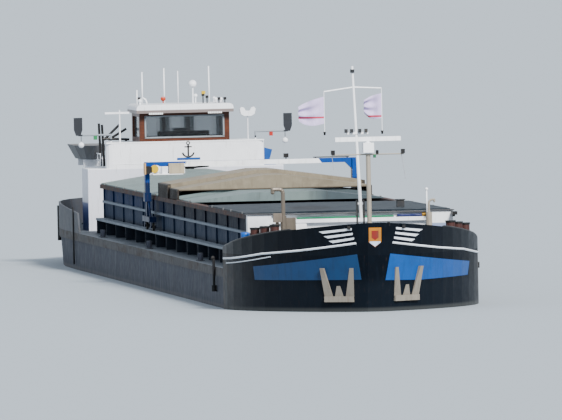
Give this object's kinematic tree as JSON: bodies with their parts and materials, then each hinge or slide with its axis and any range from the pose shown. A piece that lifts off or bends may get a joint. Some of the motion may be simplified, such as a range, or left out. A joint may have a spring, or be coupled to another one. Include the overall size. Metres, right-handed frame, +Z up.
{
  "type": "river cargo barge, 1:2 scale model",
  "caption": "River cargo barge with a gabled hatch-covered hold, travelling cover gantry, wheelhouse aft, folding flag mast and bow radar",
  "frame": {"origin": "on the flat bottom, on the centre line, half way between stem and stern", "axes": "+X points to the bow, +Y to port, +Z up"},
  "size_m": [33, 4.2556, 4.6207],
  "materials": {
    "hull": "weathered",
    "pale_grey_paint": "worn",
    "navy_paint": "rust stained",
    "white_paint": "gloss paint",
    "cover_paint": "dull paint",
    "beige_paint": "dull paint",
    "timber": "varnished",
    "window_glass": "clear",
    "dark_paint": "dull paint",
    "grey_plastic": "sun faded",
    "blue_paint": "gloss paint",
    "flag_cloth": "woven",
    "rust_paint": "worn red oxide",
    "fender_rubber": "scuffed",
    "bronze": "cast",
    "rudder_paint": "dull paint"
  },
  "bodies": {
    "hull": {"hull_bow": "hull", "hull_bottom": "hull", "hull_side_port": "hull", "hull_side_starboard": "hull", "hull_stern": "hull", "bow_bulwark": "hull", "stern_bulwark": "pale_grey_paint", "coaming_ledge_port": "pale_grey_paint", "coaming_ledge_starboard": "pale_grey_paint", "bow_vent_starboard": "pale_grey_paint", "anchor_windlass": "pale_grey_paint", "coaming_port": "navy_paint", "coaming_starboard": "navy_paint", "coaming_aft": "navy_paint", "coaming_front": "white_paint", "lower_house": "white_paint", "lower_house_roof": "white_paint", "deckhouse": "white_paint", "deckhouse_roof": "white_paint", "wheelhouse_roof": "white_paint", "hatch_cover_1": "cover_paint", "hatch_cover_2": "cover_paint", "hatch_cover_3": "cover_paint", "hatch_cover_4": "cover_paint", "hatch_cover_5": "cover_paint", "hatch_cover_6": "cover_paint", "hatch_cover_7": "cover_paint", "stacked_cover_1": "cover_paint", "stacked_cover_2": "beige_paint", "stacked_cover_3": "beige_paint", "radar_column": "beige_paint", "bow_vent_port": "beige_paint", "anchor_port": "beige_paint", "anchor_starboard": "beige_paint", "wheelhouse": "timber", "wheelhouse_glass": "window_glass", "helm": "dark_paint", "side_board_port": "dark_paint", "side_board_starboard": "dark_paint", "mast_post": "dark_paint", "dinghy": "grey_plastic", "bow_bollards_port": "rust_paint", "bow_bollards_starboard": "rust_paint", "fender_port": "fender_rubber", "fender_starboard": "fender_rubber"},
    "gantry": {"gantry_frame": "blue_paint", "gantry_winch_box": "white_paint"},
    "gantry_wheel_fp": {"gantry_wheel_fore_port": "dark_paint"},
    "gantry_wheel_ap": {"gantry_wheel_aft_port": "dark_paint"},
    "gantry_wheel_fs": {"gantry_wheel_fore_starboard": "dark_paint"},
    "gantry_wheel_as": {"gantry_wheel_aft_starboard": "dark_paint"},
    "mast": {"flag_mast": "white_paint", "flag_port": "flag_cloth", "flag_starboard": "flag_cloth"},
    "scanner": {"radar_scanner": "white_paint"},
    "screw": {"propeller": "bronze"},
    "rudder": {"rudder": "rudder_paint"},
    "wheelhouse_door": {"wheelhouse_door": "timber"},
    "cabin_door": {"cabin_door": "white_paint"}
  },
  "joints": [
    {"name": "gantry_travel", "type": "slide", "parent": "hull", "child": "gantry", "axis": [1, 0, 0], "range_m": [-7.8, 12.9]},
    {"name": "gantry_wheel_fp_spin", "type": "hinge", "parent": "gantry", "child": "gantry_wheel_fp", "pos_m": [0.025, 1.725, 1.7303], "axis": [0, 1, 0], "continuous": true},
    {"name": "gantry_wheel_ap_spin", "type": "hinge", "parent": "gantry", "child": "gantry_wheel_ap", "pos_m": [-0.925, 1.725, 1.7303], "axis": [0, 1, 0], "continuous": true},
    {"name": "gantry_wheel_fs_spin", "type": "hinge", "parent": "gantry", "child": "gantry_wheel_fs", "pos_m": [0.025, -1.725, 1.7303], "axis": [0, 1, 0], "continuous": true},
    {"name": "gantry_wheel_as_spin", "type": "hinge", "parent": "gantry", "child": "gantry_wheel_as", "pos_m": [-0.925, -1.725, 1.7303], "axis": [0, 1, 0], "continuous": true},
    {"name": "mast_fold", "type": "hinge", "parent": "hull", "child": "mast", "pos_m": [14.65, 0, 2.425], "axis": [0, -1, 0], "range_deg": [0, 90]},
    {"name": "scanner_spin", "type": "hinge", "parent": "hull", "child": "scanner", "pos_m": [15.8, 0, 3.45], "axis": [0, 0, 1], "continuous": true},
    {"name": "screw_spin", "type": "hinge", "parent": "hull", "child": "screw", "pos_m": [-14.85, 0, 0.36], "axis": [1, 0, 0], "continuous": true},
    {"name": "rudder_turn", "type": "hinge", "parent": "hull", "child": "rudder", "pos_m": [-15.45, 0, 0.35], "axis": [0, 0, 1], "range_deg": [-45, 45]},
    {"name": "wheelhouse_door_swing", "type": "hinge", "parent": "hull", "child": "wheelhouse_door", "pos_m": [-11.595, 0.19, 2.95], "axis": [0, 0, -1], "range_deg": [0, 110]},
    {"name": "cabin_door_swing", "type": "hinge", "parent": "hull", "child": "cabin_door", "pos_m": [-14.095, 0.84, 1.925], "axis": [0, 0, -1], "range_deg": [0, 110]}
  ]
}
